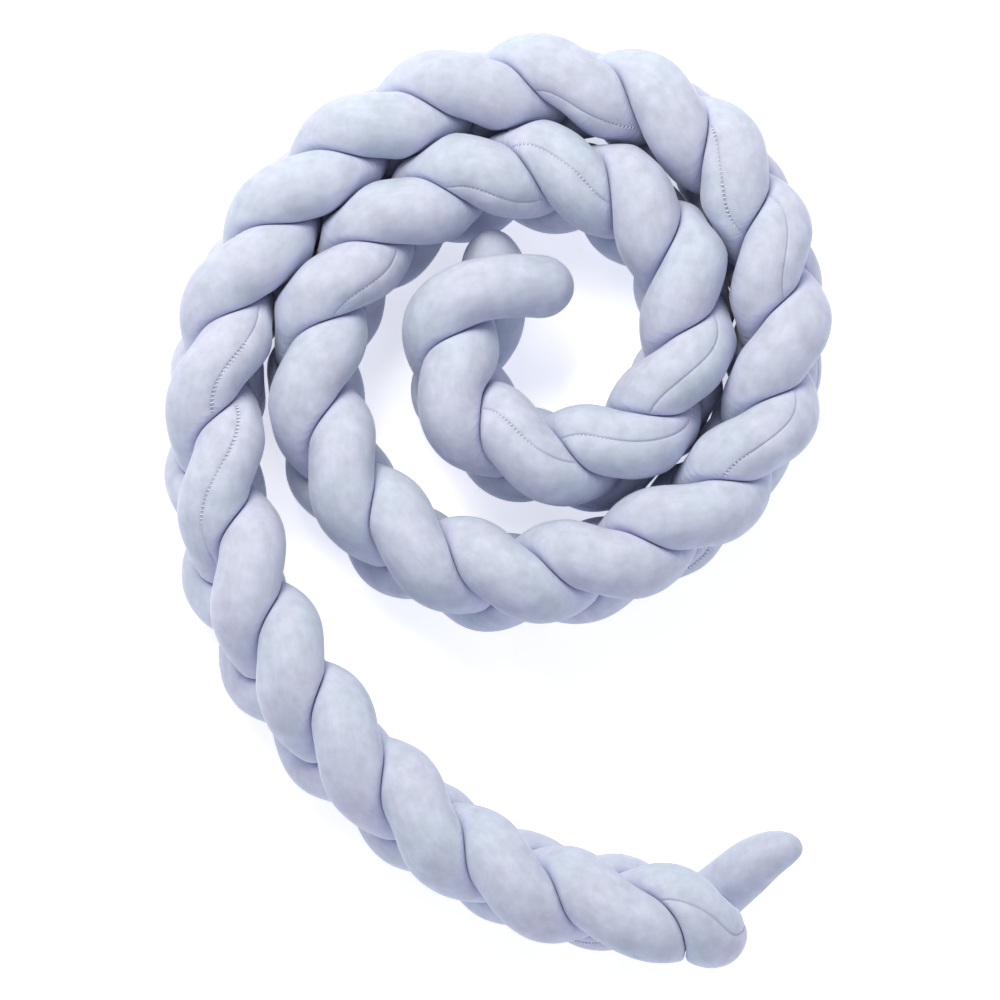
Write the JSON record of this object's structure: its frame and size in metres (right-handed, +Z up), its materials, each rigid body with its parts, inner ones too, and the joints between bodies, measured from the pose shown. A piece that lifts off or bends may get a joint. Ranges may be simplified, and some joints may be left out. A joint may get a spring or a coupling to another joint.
{
  "type": "plaited crib bumper",
  "caption": "Plaited crib bumper of stuffed velvet tubes, standing on its edge in a loose coil with a free tail.",
  "frame": {"origin": "centre of the coil's outer box, on the surface it stands on", "axes": "+Z up, +Y along the coil's longest side, away from the free tail"},
  "size_m": [0.552, 0.7812, 0.1461],
  "materials": {
    "tube_1": "short-pile velvet",
    "tube_2": "short-pile velvet",
    "tube_3": "short-pile velvet"
  },
  "bodies": {
    "root": {"tube_1": "tube_1", "tube_2": "tube_2", "tube_3": "tube_3"}
  },
  "joints": []
}
